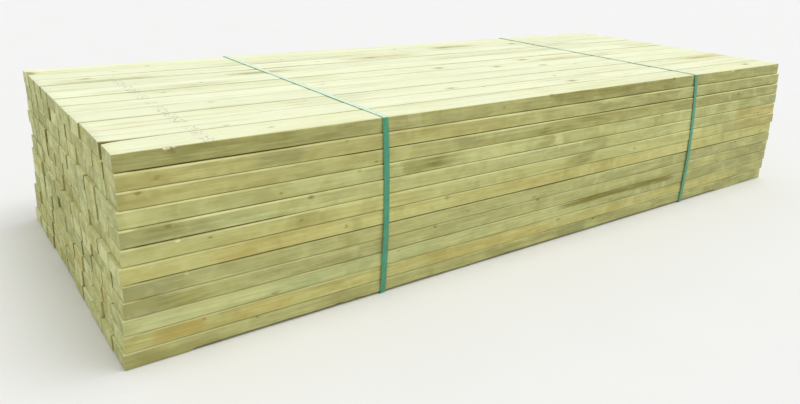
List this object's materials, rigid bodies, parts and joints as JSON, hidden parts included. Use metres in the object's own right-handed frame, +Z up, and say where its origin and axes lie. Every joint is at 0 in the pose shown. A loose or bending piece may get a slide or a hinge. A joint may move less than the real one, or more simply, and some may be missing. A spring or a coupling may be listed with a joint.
{
  "type": "stack of lumber",
  "caption": "Strapped pack of green-tinted treated softwood studs with eased edges, laid flat in even layers and held by two green plastic straps.",
  "frame": {"origin": "middle of the pack's footprint, on the level that it stands on", "axes": "+X along the boards, +Y across the pack from the front of the picture to its back, +Z up"},
  "size_m": [2.4226, 1.0044, 0.4584],
  "materials": {
    "treated_timber": "matte",
    "strap_green": "satin"
  },
  "bodies": {
    "root": {"board_layer_01": "treated_timber", "board_layer_02": "treated_timber", "board_layer_03": "treated_timber", "board_layer_04": "treated_timber", "board_layer_05": "treated_timber", "board_layer_06": "treated_timber", "board_layer_07": "treated_timber", "board_layer_08": "treated_timber", "board_layer_09": "treated_timber", "board_layer_10": "treated_timber", "board_layer_11": "treated_timber", "board_layer_12": "treated_timber", "strap_left": "strap_green", "strap_right": "strap_green"}
  },
  "joints": []
}
